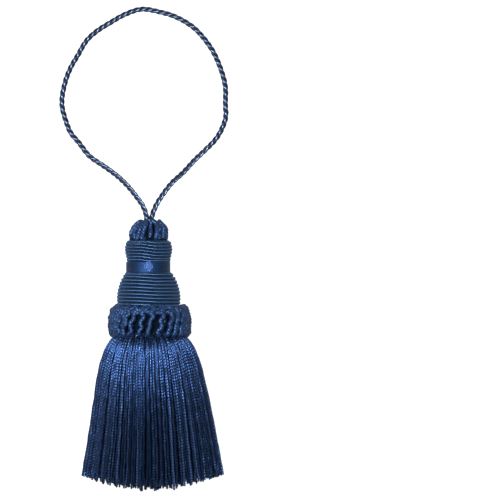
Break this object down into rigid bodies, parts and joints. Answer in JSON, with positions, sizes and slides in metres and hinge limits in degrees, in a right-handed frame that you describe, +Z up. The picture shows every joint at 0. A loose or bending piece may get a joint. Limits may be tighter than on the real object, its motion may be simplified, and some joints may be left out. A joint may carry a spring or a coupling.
{
  "type": "key tassel",
  "caption": "Yarn key tassel lying on its back: laid cord loop, gathered top tuft, thread-wound bulbous head with a waist band, ruffled collar and a full twisted fringe skirt.",
  "frame": {"origin": "on the surface that the tassel lies on, under the middle of its box without the cord loop", "axes": "+Y along the tassel towards its hanging loop, +Z up off the surface, +X to the right seen from above"},
  "size_m": [0.0625, 0.1789, 0.0306],
  "materials": {
    "cord_yarn": "lustrous navy rayon, laid in three plies",
    "ruff_yarn": "lustrous navy rayon, gathered loops",
    "winding_thread": "lustrous blue-grey rayon thread, wound close",
    "band_satin": "smooth satin",
    "knot_yarn": "bright blue knotted thread",
    "collar_yarn": "twisted navy rayon cord in upright ridges",
    "fringe_yarn": "lustrous twisted navy rayon fringe"
  },
  "bodies": {
    "root": {"cord_loop": "cord_yarn", "top_ruff": "ruff_yarn", "head_upper": "winding_thread", "neck_band": "band_satin", "band_knot": "knot_yarn", "head_lower": "winding_thread", "collar_ruff": "collar_yarn", "skirt": "fringe_yarn"}
  },
  "joints": []
}
